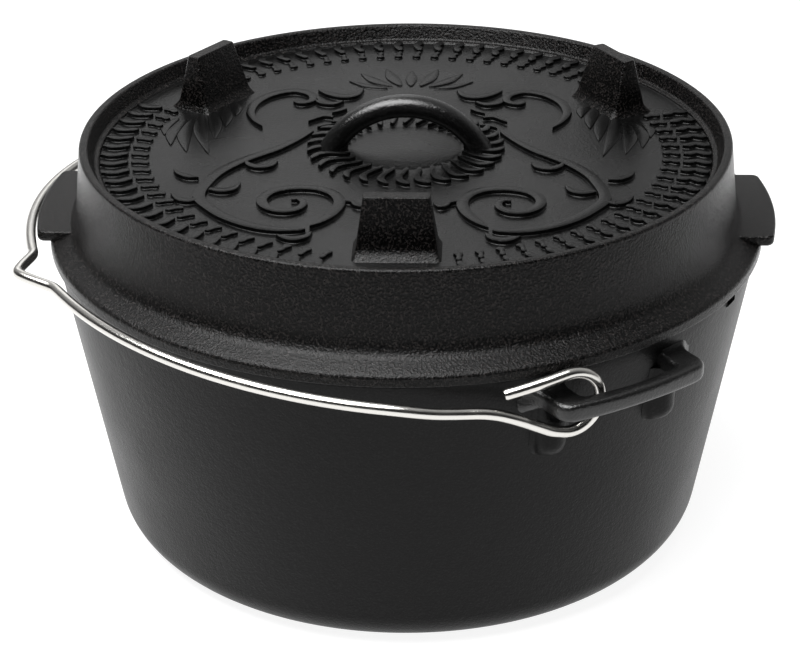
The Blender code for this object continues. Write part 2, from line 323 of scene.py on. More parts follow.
def linear(hex_colour: str) -> tuple[float, float, float, float]:
    """Turn a colour into linear light.

    Args:
        hex_colour: sRGB, as # and six hex digits.

    Returns:
        Red, green and blue in linear light, and full alpha.
    """
    parts = np.array([int(hex_colour[i:i + 2], 16) for i in (1, 3, 5)]) / 255.0
    light = np.where(parts <= 0.04045, parts / 12.92, ((parts + 0.055) / 1.055) ** 2.4)
    return (*(float(v) for v in light), 1.0)


def add_node(tree: bpy.types.NodeTree, kind: str, values: dict[str | int, Any] | None = None,
             links: dict[str | int, bpy.types.NodeSocket] | None = None,
             **settings: Any) -> bpy.types.Node:
    """Add a node with its settings, its sockets' values and its incoming links.

    Args:
        tree: the node tree.
        kind: the node's type.
        values: socket name to value.
        links: socket name to the output that feeds it.
        **settings: the node's own properties.

    Returns:
        The new node.
    """
    node = tree.nodes.new(kind)
    for key, value in settings.items():
        setattr(node, key, value)
    for socket, value in (values or {}).items():
        node.inputs[socket].default_value = value
    for socket, source in (links or {}).items():
        tree.links.new(source, node.inputs[socket])
    return node


def new_material(name: str, values: dict[str, Any]) -> tuple[
        bpy.types.Material, bpy.types.NodeTree, bpy.types.Node]:
    """Start a material.

    Args:
        name: the material's name.
        values: the shader's socket name to value.

    Returns:
        The material, its tree and its shader.
    """
    made = bpy.data.materials.new(name)
    made.use_nodes = True
    shader = made.node_tree.nodes["Principled BSDF"]
    for socket, value in values.items():
        shader.inputs[socket].default_value = value
    return made, made.node_tree, shader


@dataclass(frozen=True)
class SeasonedIron:
    """Sand-cast iron with baked-on oil: near black, with a low sheen over the sand's grain.

    Moulding sand's grains are about 0.3 mm, too fine to show, so their marks are drawn 1 mm wide.

    Attributes:
        name: the material's name.
        low: colour in the grain's hollows.
        high: colour on the grain's tops.
        roughness: of the oil's surface.
        rise_mm: height of the grain's marks.
        fleck_mm: width of the coarser marks, which make the sparkle.
        fleck_rise_mm: their height.
        sheen: specular level, 0.5 being a plain varnish.
        grain_mm: width of a grain's mark.
        drift_mm: width of the patches in which the oil is a little duller or brighter.
        drift_span: how far the roughness changes either way between them.
        tone_range: the grain's values at which the low colour ends and the high one is reached.
    """

    name: str
    low: str
    high: str
    roughness: float
    rise_mm: float
    fleck_mm: float
    fleck_rise_mm: float
    sheen: float
    grain_mm: float = 1.0
    drift_mm: float = 45.0
    drift_span: float = 0.04
    tone_range: tuple[float, float] = (0.5, 0.72)

    def material(self) -> bpy.types.Material:
        """Make the material from two sizes of grain and a slow change of gloss over the casting.

        Returns:
            The material.
        """
        made, tree, shader = new_material(self.name, {"Specular IOR Level": self.sheen})
        place = {"Vector": add_node(tree, "ShaderNodeTexCoord").outputs["Object"]}
        grain, fleck, drift = (
            add_node(tree, "ShaderNodeTexNoise",
                     {"Scale": 1.0 / (width * MM), "Detail": detail, "Roughness": rough}, place)
            for width, detail, rough in ((self.grain_mm, 3.0, 0.6), (self.fleck_mm, 1.5, 0.5),
                                         (self.drift_mm, 2.0, 0.5)))
        fine = add_node(tree, "ShaderNodeBump", {"Strength": 1.0, "Distance": self.rise_mm * MM},
                        {"Height": grain.outputs[0]})
        coarse = add_node(tree, "ShaderNodeBump",
                          {"Strength": 1.0, "Distance": self.fleck_rise_mm * MM},
                          {"Height": fleck.outputs[0], "Normal": fine.outputs["Normal"]})
        start, end = self.tone_range
        tone = add_node(tree, "ShaderNodeMapRange", {"From Min": start, "From Max": end},
                        {"Value": grain.outputs[0]})
        colour = add_node(tree, "ShaderNodeMix", {"A": linear(self.low), "B": linear(self.high)},
                          {"Factor": tone.outputs["Result"]}, data_type="RGBA")
        gloss = add_node(tree, "ShaderNodeMapRange",
                         {**NOISE_RANGE, "To Min": self.roughness - self.drift_span,
                          "To Max": self.roughness + self.drift_span}, {"Value": drift.outputs[0]})
        for source, name in ((colour.outputs["Result"], "Base Color"),
                             (gloss.outputs["Result"], "Roughness"),
                             (coarse.outputs["Normal"], "Normal")):
            tree.links.new(source, shader.inputs[name])
        return made


@dataclass(frozen=True)
class DrawnStainless:
    """Stainless wire pulled through a die: satin metal with faint lines along its length.

    A die's lines are some hundredths of a millimetre wide, too fine to show, so they are drawn
    about 0.2 mm wide.

    Attributes:
        name: the material's name.
        colour: of the metal.
        shade: its darker tone, in the lines.
        roughness: of the drawn surface.
        line_share: width of a line, as a share of the wire's radius.
        line_rise_mm: height of a line.
        polish, wear: how far the roughness goes below and above.
    """

    name: str
    colour: str
    shade: str
    roughness: float
    line_share: float
    line_rise_mm: float = 0.012
    polish: float = 0.05
    wear: float = 0.06

    def material(self) -> bpy.types.Material:
        """Make the material from the wire's own route attribute: (along, cos, sin) of each point.

        Returns:
            The material.
        """
        made, tree, shader = new_material(self.name, {"Metallic": 1.0})
        route = add_node(tree, "ShaderNodeAttribute", attribute_name="route").outputs["Vector"]
        lines = add_node(tree, "ShaderNodeTexNoise",
                         {"Scale": 1.0 / self.line_share, "Detail": 2.0}, {"Vector": route})
        bump = add_node(tree, "ShaderNodeBump",
                        {"Strength": 1.0, "Distance": self.line_rise_mm * MM},
                        {"Height": lines.outputs[0]})
        gloss = add_node(tree, "ShaderNodeMapRange",
                         {**NOISE_RANGE, "To Min": self.roughness - self.polish,
                          "To Max": self.roughness + self.wear}, {"Value": lines.outputs[0]})
        colour = add_node(tree, "ShaderNodeMix",
                          {"A": linear(self.shade), "B": linear(self.colour)},
                          {"Factor": gloss.outputs["Result"]}, data_type="RGBA")
        for source, name in ((colour.outputs["Result"], "Base Color"),
                             (gloss.outputs["Result"], "Roughness"),
                             (bump.outputs["Normal"], "Normal")):
            tree.links.new(source, shader.inputs[name])
        return made


# The pot's outside was cast in fine sand: an even black satin with hardly any grain.
POT_WALL = SeasonedIron("seasoned_cast_iron_fine_sand", "#060606", "#141414", roughness=0.36,
                        rise_mm=0.18, fleck_mm=3.0, fleck_rise_mm=0.12, sheen=0.11)
# The lugs were ground and oiled again, so they carry sharper lights than the wall.
LUG_SKIN = SeasonedIron("seasoned_cast_iron_ground_lugs", "#060606", "#141414", roughness=0.28,
                        rise_mm=0.25, fleck_mm=2.8, fleck_rise_mm=0.1, sheen=0.5)
# The lid was cast in coarser sand: a pebbled skin that sparkles on its wall.
LID_SKIN = SeasonedIron("seasoned_cast_iron_coarse_sand", "#010101", "#242120", roughness=0.22,
                        rise_mm=0.45, fleck_mm=2.4, fleck_rise_mm=0.11, sheen=0.16)
# The ornament's face is finer, so that the relief reads clearly.
LID_RELIEF = SeasonedIron("seasoned_cast_iron_relief", "#020202", "#111111", roughness=0.28,
                          rise_mm=0.14, fleck_mm=2.2, fleck_rise_mm=0.06, sheen=0.16)
# The handle is rubbed smooth by use, so light runs along it in streaks.
HANDLE_SKIN = SeasonedIron("seasoned_cast_iron_worn_handle", "#050505", "#161616", roughness=0.25,
                           rise_mm=0.2, fleck_mm=2.4, fleck_rise_mm=0.08, sheen=0.5)
# The wire is bright and satin: long clear reflections, softened a little across.
WIRE_STEEL = DrawnStainless("drawn_stainless_wire", "#dcdad6", "#c9c7c3", roughness=0.2,
                            line_share=0.09)


# ---------------------------------------------------------------- pot


@dataclass
class Pot:
    """The pot casting: a flared bowl with two slotted lugs, four ribs and a notch in its rim."""

    floor: float = 6.0 * MM
    bottom_ease: float = 20.0 * MM
    inner_ease: float = 16.0 * MM
    rim_ease: float = 1.3 * MM
    # depths under the rim at which the wall has a row of points, so that the notch stays flat
    rim_rows: tuple[float, ...] = (60.0 * MM, 12.0 * MM, 6.5 * MM, 5.6 * MM)
    around: int = 288
    notch_turn: float = math.radians(28.6)
    notch_width: float = 8.5 * MM
    notch_depth: float = 5.0 * MM
    notch_edge: float = math.radians(0.12)
    lug_low: float = 125.7 * MM
    lug_high: float = 133.3 * MM
    lug_outer: float = 175.25 * MM
    lug_inner: float = 168.3 * MM
    arm_y: float = 30.0 * MM
    arm_width: float = 13.0 * MM
    arm_turn: float = math.radians(10.5)
    root_ease: float = 10.0 * MM
    corner_ease: float = 6.5 * MM
    slot_ease: float = 3.0 * MM
    edge_ease: float = 2.4 * MM
    web: float = 4.0 * MM
    # how far a lug's slot edge and a rib's foot run into the wall
    slot_sunk: float = 3.0 * MM
    rib_sunk: float = 2.5 * MM
    rib_outer: float = 159.7 * MM
    rib_half: float = 7.0 * MM
    rib_low: float = 100.0 * MM
    rib_dome: float = 8.0 * MM
    rib_into_lug: float = 1.5 * MM
    rib_roundness: float = 0.9

    def corner(self, radius: float, foot: float, floor: float, count: int) -> np.ndarray:
        """The round between the wall and a level floor: part of a circle that touches both.

        Args:
            radius: of the circle.
            foot: the wall's radius at height zero.
            floor: height of the floor.
            count: number of points.

        Returns:
            Rows of radius and height, from the wall to the floor.
        """
        slope = math.atan(WALL_FLARE)
        middle = foot + WALL_FLARE * (floor + radius) - radius / math.cos(slope)
        return circle_part((middle, floor + radius), radius, -math.degrees(slope), -90.0, count)

    def shell(self) -> bpy.types.Object:
        """Build the bowl.

        The profile goes from the inside of the floor over the rim to the underside. Within the
        notch, a point's height is the lower of its own and the rim's less the notch's depth. At
        each side of the notch the depth rises by 3s^2 - 2s^3 over a small angle.

        Returns:
            The pot's bowl.
        """
        outer = wall_radius(RIM_Z)
        inner = outer - WALL_THICK
        drops = np.array(self.rim_rows)
        low = np.column_stack([-drops * WALL_FLARE, RIM_Z - drops, np.zeros(len(drops))])
        rim = eased(np.vstack([low + (inner, 0.0, 0.0), (inner, RIM_Z, self.rim_ease),
                               (outer, RIM_Z, self.rim_ease), (low + (outer, 0.0, 0.0))[::-1]]))
        inside = self.corner(self.inner_ease, WALL_FOOT_RADIUS - WALL_THICK, self.floor, 12)
        outside = self.corner(self.bottom_ease, WALL_FOOT_RADIUS, 0.0, 14)
        profile = np.vstack([(0.0, self.floor), inside[::-1], rim, outside, (0.0, 0.0)])
        half = self.notch_width / 2 / outer
        step = self.notch_edge * np.linspace(-1.0, 1.0, 9)
        local = [self.notch_turn + side * half + step for side in (-1, 1)]
        turns = np.unique(np.concatenate([all_round(self.around), *local]))
        into = np.clip((half - np.abs(turns - self.notch_turn)) / self.notch_edge, 0.0, 1.0)
        depth = self.notch_depth * into * into * (3.0 - 2.0 * into)
        radius, height = profile[:, :1], profile[:, 1:2]
        level = np.minimum(height, RIM_Z - depth[None, :])
        solid = Solid("pot_bowl")
        solid.add_grid(np.stack([radius * np.cos(turns), radius * np.sin(turns), level], axis=-1))
        return solid.make()

    def lug_edges(self, count: int) -> tuple[np.ndarray, np.ndarray]:
        """The lug's outer edge and its slot's edge, from root to root, in step with each other.

        Args:
            count: number of points on half of an edge.

        Returns:
            Rows of x and y for each edge.
        """
        edge_y = self.arm_y + self.arm_width / 2
        wall = float(wall_radius((self.lug_low + self.lug_high) / 2))
        root_y = edge_y + self.root_ease
        root_x = math.sqrt((wall + self.root_ease) ** 2 - root_y ** 2)
        root_to = math.degrees(math.atan2(root_y, root_x)) - 180.0
        outer = np.vstack([arc_to_corner(self.lug_outer, edge_y, self.corner_ease, 14, 7),
                           circle_part((root_x, root_y), self.root_ease, -90.0, root_to, 12)])
        slot_y = self.arm_y - self.arm_width / 2
        inner = np.vstack([arc_to_corner(self.lug_inner, slot_y, self.slot_ease, 14, 7),
                           [(math.sqrt(wall ** 2 - slot_y ** 2) - self.slot_sunk, slot_y)]])
        half = [evenly(line, count) for line in (outer, inner)]
        return tuple(np.vstack([line[::-1] * (1, -1), line[1:]]) for line in half)

    def add_lug(self, solid: Solid, turn: float) -> None:
        """Add one lug.

        At each step along the lug, its section is a rounded rectangle between the slot's edge and
        the outer edge. Near the wall it swells up and down by the web times the square of what is
        left of the web's length, which is the casting's fillet.

        Args:
            solid: the solid to add to.
            turn: the lug's direction in radians.
        """
        outer, inner = self.lug_edges(44)
        across = outer - inner
        width = np.linalg.norm(across, axis=1, keepdims=True)
        tall = self.lug_high - self.lug_low
        bend = quarter(5)
        far, near = self.edge_ease * (1 - np.cos(bend)), self.edge_ease * (1 - np.sin(bend))
        start = np.broadcast_to(near, (len(outer), len(bend)))
        share = np.concatenate([start[:, ::-1], width - near, width - near[::-1], start], axis=1)
        level = np.concatenate([far[::-1], far, tall - far[::-1], tall - far])
        flat = inner[:, None] + (across / width)[:, None] * share[..., None]
        height = np.broadcast_to(self.lug_low + level, flat.shape[:2])
        middle = (self.lug_low + self.lug_high) / 2
        away = np.linalg.norm(flat, axis=-1) - wall_radius(middle)
        left = np.clip(1.0 - away / self.web, 0.0, 1.2)
        height = middle + (height - middle) * (1.0 + self.web * left ** 2 / tall)
        rings = np.concatenate([flat, height[..., None]], axis=-1)
        solid.add_tube(turn_about_z(rings, turn))

    def add_rib(self, solid: Solid, turn: float) -> None:
        """Add one half-round rib under an arm.

        Its section is half an ellipse that stands on the wall, with a flared foot at each side. Its
        lower end is a dome: the section shrinks by sqrt(1 - drop^2) as the drop goes to one.

        Args:
            solid: the solid to add to.
            turn: the rib's direction in radians.
        """
        fall = np.radians(np.linspace(8.0, 90.0, 12))
        height = np.append(self.rib_low + self.rib_dome * (1 - np.cos(fall)),
                           self.lug_low + self.rib_into_lug)
        drop = np.clip((self.rib_low + self.rib_dome - height) / self.rib_dome, 0.0, 1.0)
        share = np.sqrt(1.0 - drop ** 2)[:, None]
        wall = wall_radius(height)[:, None]
        half = self.rib_half * (0.5 + 0.5 * share)
        sweep = np.radians(np.linspace(-90.0, 90.0, 17))[None, :]
        x = wall + (self.rib_outer - wall) * share * np.cos(sweep) ** self.rib_roundness
        y = half * np.sin(sweep)
        foot_x = np.concatenate([wall + 0.5 * MM * share, wall - 0.1 * MM, wall - self.rib_sunk],
                                axis=1)
        foot_y = half + np.array([0.5, 1.7, 2.0]) * MM
        x = np.concatenate([foot_x[:, ::-1], x[:, 1:-1], foot_x], axis=1)
        y = np.concatenate([-foot_y[:, ::-1], y[:, 1:-1], foot_y], axis=1)
        solid.add_tube(turn_about_z(at_levels(np.stack([x, y], axis=-1), height), turn))

    def build(self) -> None:
        """Build and dress the pot's pieces."""
        iron = POT_WALL.material()
        bowl = self.shell()
        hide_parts("pot")
        lugs, ribs = Solid("pot_lugs"), Solid("pot_lug_ribs")
        for turn in (0.0, math.pi):
            self.add_lug(lugs, turn)
            for side in (-1, 1):
                self.add_rib(ribs, turn + side * self.arm_turn)
        for piece in (bowl, ribs.make()):
            finish_piece(piece, Body.POT, Slot.POT_IRON, iron)
        finish_piece(lugs.make(), Body.POT, Slot.POT_IRON, LUG_SKIN.material())


# ---------------------------------------------------------------- lid


class Side(Enum):
    """Which halves of the lid carry a figure of the relief."""

    MIDDLE = (1,)
    BOTH = (1, -1)


@dataclass
class Relief:
    """Raised figures on the lid's plate: strokes with a flat top and a filleted foot.

    Attributes:
        rise: height of a figure over the plate.
        sunk: how far its underside lies in the plate.
        foot: reach of the fillet at its foot.
        thinnest: least half width of a ring.
        side_rings: offset outward and height of the rings between foot and crown.
        crown_rings: offset outward and depth under the top of the rings of the crown.
        crown: how far a stroke's middle line stands over its top.
    """

    rise: float = 1.7 * MM
    sunk: float = 0.35 * MM
    foot: float = 0.3 * MM
    thinnest: float = 0.05 * MM
    side_rings: tuple[tuple[float, float], ...] = ((0.12 * MM, 0.12 * MM), (0.03 * MM, 0.35 * MM))
    crown_rings: tuple[tuple[float, float], ...] = (
        (0.0, 0.25 * MM), (-0.06 * MM, 0.07 * MM), (-0.25 * MM, 0.0))
    crown: float = 0.06 * MM

    def rings(self, path: np.ndarray, rise: float) -> np.ndarray:
        """Rings of one stroke, from its underside up to its crown.

        A ring is the stroke's outline moved outward by an offset at one height. A point of the
        outline is the path's point plus or minus (half width + offset) times the unit normal, and
        at each tip it is the path's end moved on by the offset.

        Args:
            path: rows of x, y and half width; the ends count as having none.
            rise: height of the stroke.

        Returns:
            Array of rings by points by three.
        """
        spine, half = path[:, :2], np.maximum(path[:, 2], 0.0)
        along = unit(np.gradient(spine, axis=0))
        normal = np.column_stack([-along[:, 1], along[:, 0]])
        sides, crowns = np.array(self.side_rings), np.array(self.crown_rings)
        offset = np.concatenate([[self.foot, self.foot], sides[:, 0], crowns[:, 0]])
        height = np.concatenate([[-self.sunk, 0.02 * MM], sides[:, 1], rise - crowns[:, 1]])
        out = np.maximum(half[None, 1:-1] + offset[:, None], self.thinnest)[..., None]
        left = spine[None, 1:-1] + normal[None, 1:-1] * out
        right = spine[None, 1:-1] - normal[None, 1:-1] * out
        first = spine[None, :1] - along[None, :1] * offset[:, None, None]
        last = spine[None, -1:] + along[None, -1:] * offset[:, None, None]
        loop = np.concatenate([first, left, last, right[:, ::-1]], axis=1)
        middle = np.concatenate([spine, spine[1:-1][::-1]])[None]
        level = PLATE_Z + np.concatenate([[-self.sunk], height, [rise + self.crown]])
        return at_levels(np.concatenate([middle, loop, middle]), level)

    def add_stroke(self, solid: Solid, points: tuple[tuple[int, int, int], ...], side: Side,
                   steps: int = 40, rise: float | None = None) -> None:
        """Add a stroke through points given in the lid's own directions.

        Args:
            solid: the solid to add to.
            points: x, y and half width in tenths of a millimetre, along its middle line.
            side: on one half of the lid, or mirrored on both.
            steps: points along the stroke.
            rise: its height, if not the usual one.
        """
        rings = self.rings(smooth_path(np.array(points) * 0.1 * MM, steps), rise or self.rise)
        for sign in side.value:
            solid.add_grid(turn_about_z(rings * (sign, 1, 1), LID_TURN))

    def add_round(self, solid: Solid, points: tuple[tuple[float, float, float], ...], count: int,
                  first: float, steps: int, rise: float, feet: tuple[float, ...] = ()) -> None:
        """Add a stroke given by radius, angle and half width, repeated evenly all round the lid.

        Args:
            solid: the solid to add to.
            points: radius in millimetres, angle in degrees and half width in millimetres.
            count: number of copies.
            first: angle of the first copy, in degrees.
            steps: points along the stroke.
            rise: its height.
            feet: directions in degrees of the feet, beside which no copy stands.
        """
        radius, turn, half = np.array(points).T
        turn = np.radians(turn + first)
        plan = np.column_stack([radius * np.cos(turn), radius * np.sin(turn), half]) * MM
        rings = self.rings(smooth_path(plan, steps), rise)
        for step in 360.0 * np.arange(count) / count:
            apart = np.cos(np.radians(first + step - np.array(feet)))
            if np.all(apart < math.cos(FOOT_CLEAR)):
                solid.add_grid(turn_about_z(rings, LID_TURN + math.radians(step)))


# Figures of the relief, as x, y and half width in tenths of a millimetre.
SCROLLS = (
    # the stem that falls from the handle and turns in to the volute
    ((422, 157, 2), (500, 45, 16), (576, -53, 22), (652, -126, 24), (737, -216, 25),
     (809, -331, 26), (847, -448, 26), (864, -540, 26), (852, -620, 26), (805, -698, 26),
     (745, -776, 26), (670, -843, 25), (581, -894, 24), (499, -916, 22), (425, -918, 16),
     (385, -915, 4)),
    # the volute, and the leaves along the stem
    ((370, -886, 2), (330, -832, 18), (287, -758, 24), (262, -676, 25), (264, -604, 25),
     (296, -539, 24), (353, -496, 23), (419, -482, 23), (493, -492, 23), (557, -530, 23),
     (590, -598, 23), (581, -663, 22), (544, -710, 21), (494, -730, 20), (446, -716, 19),
     (416, -678, 17), (414, -632, 15), (440, -602, 13), (466, -616, 9)),
    ((356, -936, 2), (380, -984, 15), (426, -1006, 20), (466, -994, 15), (503, -966, 2)),
    ((136, -636, 2), (164, -672, 12), (190, -660, 12), (206, -628, 10), (250, -616, 6)),
    ((556, -194, 2), (586, -242, 14), (637, -258, 18), (680, -232, 14), (704, -184, 2)),
    ((698, -436, 2), (724, -496, 16), (770, -518, 20), (830, -502, 12)),
    ((852, -600, 8), (900, -626, 18), (944, -612, 15), (986, -556, 2)),
    ((886, -378, 2), (930, -370, 14), (976, -336, 12), (1006, -290, 2)),
    # leaf stems on the far half
    ((660, 210, 2), (706, 300, 13), (732, 410, 20), (710, 530, 23), (640, 626, 23),
     (544, 666, 22), (468, 620, 20), (456, 544, 17), (506, 506, 13), (544, 540, 9)),
    ((220, 700, 2), (254, 620, 18), (310, 596, 23), (376, 626, 20), (436, 676, 3)),
    ((306, 536, 2), (356, 502, 16), (414, 514, 12), (444, 554, 2)),
    ((344, 330, 2), (396, 346, 13), (456, 280, 3)),
    ((330, 244, 2), (376, 238, 11), (410, 206, 2)),
    ((286, 436, 2), (324, 414, 12), (354, 384, 2)),
)

FANS = (
    ((860, 580, 10), (806, 470, 26), (796, 370, 3)),
    ((880, 520, 10), (840, 360, 28), (830, 230, 3)),
    ((920, 460, 10), (880, 260, 30), (864, 80, 3)),
    ((960, 400, 10), (940, 180, 32), (876, -90, 3)),
    ((990, 340, 10), (1010, 140, 32), (976, -70, 3)),
    ((1020, 320, 10), (1066, 160, 28), (1056, 6, 3)),
    ((1060, 340, 10), (1104, 240, 22), (1100, 130, 3)),
)

CREST = (
    ((0, 760, 8), (0, 860, 26), (0, 970, 3)),
    ((46, 760, 8), (90, 870, 30), (126, 990, 3)),
    ((86, 750, 8), (174, 830, 28), (246, 926, 3)),
    ((110, 726, 6), (200, 756, 20), (296, 820, 3)),
)

# Figures repeated all round, as radius in millimetres, angle in degrees and half width.
BORDER_TONGUE = ((123.4, -0.9, 0.2), (124.6, -0.5, 1.5), (126.6, -0.35, 1.9), (128.8, 0.2, 1.5),
                 (131.0, 0.1, 1.9), (133.2, -0.4, 1.9), (135.0, -0.5, 1.2), (136.0, -0.1, 0.2))
BORDER_BEAD = ((114.2, 0.0, 1.4), (115.6, 0.0, 1.9), (118.2, -0.1, 0.9), (120.0, -0.3, 1.2),
               (121.4, -0.5, 1.0), (122.2, -0.6, 0.2))
CENTRE_RAY = ((26.0, 3.0, 0.8), (28.6, 2.0, 1.1), (32.0, -0.6, 1.2), (36.0, -2.4, 1.3),
              (40.0, -2.0, 1.6), (43.0, 1.6, 1.2), (44.2, 4.2, 0.2))


@dataclass
class Lid:
    """The lid casting: plate, coal rim, brim, lip, grip tabs, feet, handle and relief."""

    under_z: float = 171.3 * MM
    rim_top: float = 184.6 * MM
    rim_foot: float = 136.2 * MM
    seat_z: float = RIM_Z + 0.3 * MM
    lip_play: float = 0.8 * MM
    lip_deep: float = 3.0 * MM
    around: int = 360
    tab_radius: float = 165.5 * MM
    tab_root: float = 142.3 * MM
    tab_half: float = 35.0 * MM
    tab_corner: float = 3.5 * MM
    tab_low: float = 145.0 * MM
    tab_high: float = 150.0 * MM
    tab_ease_low: float = 1.9 * MM
    tab_ease_high: float = 1.1 * MM
    foot_top: float = 201.6 * MM
    foot_turns: tuple[float, ...] = (-90.0, 30.5, 147.5)
    handle_top: float = 201.6 * MM
    handle_radius: float = 42.2 * MM
    handle_thick: float = 10.0 * MM
    handle_width: float = 11.5 * MM
    handle_from: float = 22.8
    handle_roundness: float = 0.9
    flare_tall: float = 9.0 * MM
    flare_wide: float = 1.2 * MM
    flare_thick: float = 0.6 * MM
    tongues: int = 82
    rays: int = 30
    first_tongue: float = -3.0
    first_ray: float = -6.0
    tongue_rise: float = 1.6 * MM
    bead_rise: float = 1.2 * MM
    ray_rise: float = 1.8 * MM
    # the leaves of a fan lie at two heights by turns, so that they overlap
    fan_rises: tuple[float, float] = (0.45 * MM, 0.65 * MM)
    crest_rise: float = 0.6 * MM

    def shell(self) -> bpy.types.Object:
        """Build the body: a profile turned about Z, x = r cos t and y = r sin t.

        Returns:
            The lid's plate, rim, brim and lip.
        """
        lip = (float(wall_radius(RIM_Z)) - WALL_THICK - self.lip_play) / MM
        top, plate, under = self.rim_top / MM, PLATE_Z / MM, self.under_z / MM
        seat, edge = self.seat_z / MM, (self.seat_z - self.lip_deep) / MM
        # radius, height and easing in millimetres: the domed middle, the plate, the coal rim, its
        # outside down to the brim, and back along the seat, the lip and the hollow
        corners = np.array([
            (0.0, plate + 2.15, 0), (7.0, plate + 2.1, 4), (16.0, plate + 1.35, 4),
            (23.6, plate + 0.3, 1.0), (25.2, plate, 0.7), (135.9, plate, 0.4),
            (136.5, plate + 1.0, 0.5), (138.4, plate + 1.3, 1.0), (141.0, top, 0.9),
            (144.7, top, 1.4), (147.9, 154.4, 4.0), (150.3, 149.6, 2.6), (158.9, 146.1, 1.3),
            (160.0, 144.9, 1.2), (160.0, seat, 0.8), (lip, seat, 0.3), (lip, edge, 0.8),
            (147.4, edge, 0.6), (146.2, 143.5, 3.0), (142.4, 152.6, 4.0), (140.2, under, 9.0),
            (0.0, under, 0)]) * MM
        profile, turns = eased(corners, 7), all_round(self.around)
        circles = np.stack([np.cos(turns), np.sin(turns)], axis=-1)
        solid = Solid("lid_body")
        solid.add_grid(at_levels(profile[:, :1, None] * circles, profile[:, 1]))
        return solid.make()

    def mark_plate(self, body: bpy.types.Object) -> None:
        """Give the ornament's finish to the plate's top: its faces inside the rim's foot.

        Args:
            body: the lid's body, whose second material is that finish.
        """
        faces = body.data.polygons
        centre = np.empty(3 * len(faces))
        faces.foreach_get("center", centre)
        centre = centre.reshape(-1, 3)
        inside = np.hypot(centre[:, 0], centre[:, 1]) < self.rim_foot
        top = centre[:, 2] > (self.under_z + PLATE_Z) / 2
        faces.foreach_set("material_index", (inside & top).astype(np.int32))

    def tabs(self) -> bpy.types.Object:
        """Build the grip tabs: a plan outline moved inward as it nears the top and bottom faces.

        Returns:
            The two tabs.
        """
        side = np.vstack([arc_to_corner(self.tab_radius, self.tab_half, self.tab_corner, 24, 9),
                          [(self.tab_root, self.tab_half)]])
        outline = np.vstack([(side * (1, -1))[:0:-1], side])
        along = np.gradient(outline, axis=0)
        normal = unit(np.column_stack([along[:, 1], -along[:, 0]]))
        near, far = 1 - np.sin(quarter(6)), 1 - np.cos(quarter(6))
        inward = np.concatenate([self.tab_ease_low * near, self.tab_ease_high * far])
        level = np.concatenate([self.tab_low + self.tab_ease_low * far,
                                self.tab_high - self.tab_ease_high * near])
        rings = at_levels(outline[None] - normal[None] * inward[:, None, None], level)
        solid = Solid("lid_grip_tabs")
        for turned in (LID_TURN, LID_TURN + math.pi):
            solid.add_tube(turn_about_z(rings, turned))
        return solid.make()

    def feet(self) -> bpy.types.Object:
        """Build the feet.

        Level sections are rectangles with quarter-circle corners. Their sizes change with height
        along rounded profiles: a skirt that curves out into the plate, a straight taper, and an
        eased top.

        Returns:
            The three feet.
        """
        # heights over the plate, then the inner face's radius, the outer's and half the width
        rise = (-0.8, 0.1, 3.2, (self.foot_top - PLATE_Z) / MM, (self.foot_top - PLATE_Z) / MM)
        ease = (0.0, 1.0, 3.0, 0.9, 0.0)
        inner, outer, half = (eased(np.column_stack([row, rise, ease]), 7) * MM for row in (
            (97.0, 98.3, 100.6, 106.9, 107.9), (121.6, 120.2, 117.2, 112.8, 111.6),
            (19.0, 18.1, 16.6, 13.4, 12.2)))
        level = PLATE_Z + inner[:, 1]
        inner, outer, half = inner[:, 0], outer[:, 0], half[:, 0]
        corner = np.interp(level, [PLATE_Z, PLATE_Z + 5 * MM, self.foot_top],
                           [2.4 * MM, 1.5 * MM, 1.1 * MM])
        flat = []
        for sx, sy, start in ((1, 1, 0), (0, 1, 1), (0, -1, 2), (1, -1, 3)):
            x = (outer - corner if sx else inner + corner)[:, None]
            y = (sy * (half - corner))[:, None]
            turn = quarter(6) + start * math.pi / 2
            flat.append(np.stack([x + corner[:, None] * np.cos(turn),
                                  y + corner[:, None] * np.sin(turn)], axis=-1))
        rings = at_levels(np.concatenate(flat, axis=1), level)
        solid = Solid("lid_feet")
        for degrees in self.foot_turns:
            solid.add_tube(turn_about_z(rings, LID_TURN + math.radians(degrees)))
        return solid.make()

    def handle(self) -> bpy.types.Object:
        """Build the handle: a nearly round section carried along an arch, thicker at its ends.

        The section is a superellipse: its coordinates are |cos t| and |sin t| to one power, with
        their signs. The ends flare by the square of what is left of the flare's height.

        Returns:
            The handle.
        """
        centre_z = self.handle_top - self.handle_radius
        turn = np.radians(np.linspace(self.handle_from, 180.0 - self.handle_from, 72))[:, None]
        rise = centre_z + self.handle_radius * np.sin(turn) - PLATE_Z
        flare = np.clip(1.0 - np.maximum(rise, 0.0) / self.flare_tall, 0.0, 1.0) ** 2
        half = self.handle_width / 2 + self.flare_wide * flare
        thick = self.handle_thick / 2 + self.flare_thick * flare
        t = all_round(32)[None, :]
        wide, deep = (np.copysign(np.abs(wave) ** self.handle_roundness, wave)
                      for wave in (np.cos(t), np.sin(t)))
        out = self.handle_radius - self.handle_thick / 2 + thick * deep
        rings = np.stack([out * np.cos(turn), half * wide, centre_z + out * np.sin(turn)], axis=-1)
        solid = Solid("lid_handle")
        solid.add_tube(turn_about_z(rings, LID_TURN))
        return solid.make()

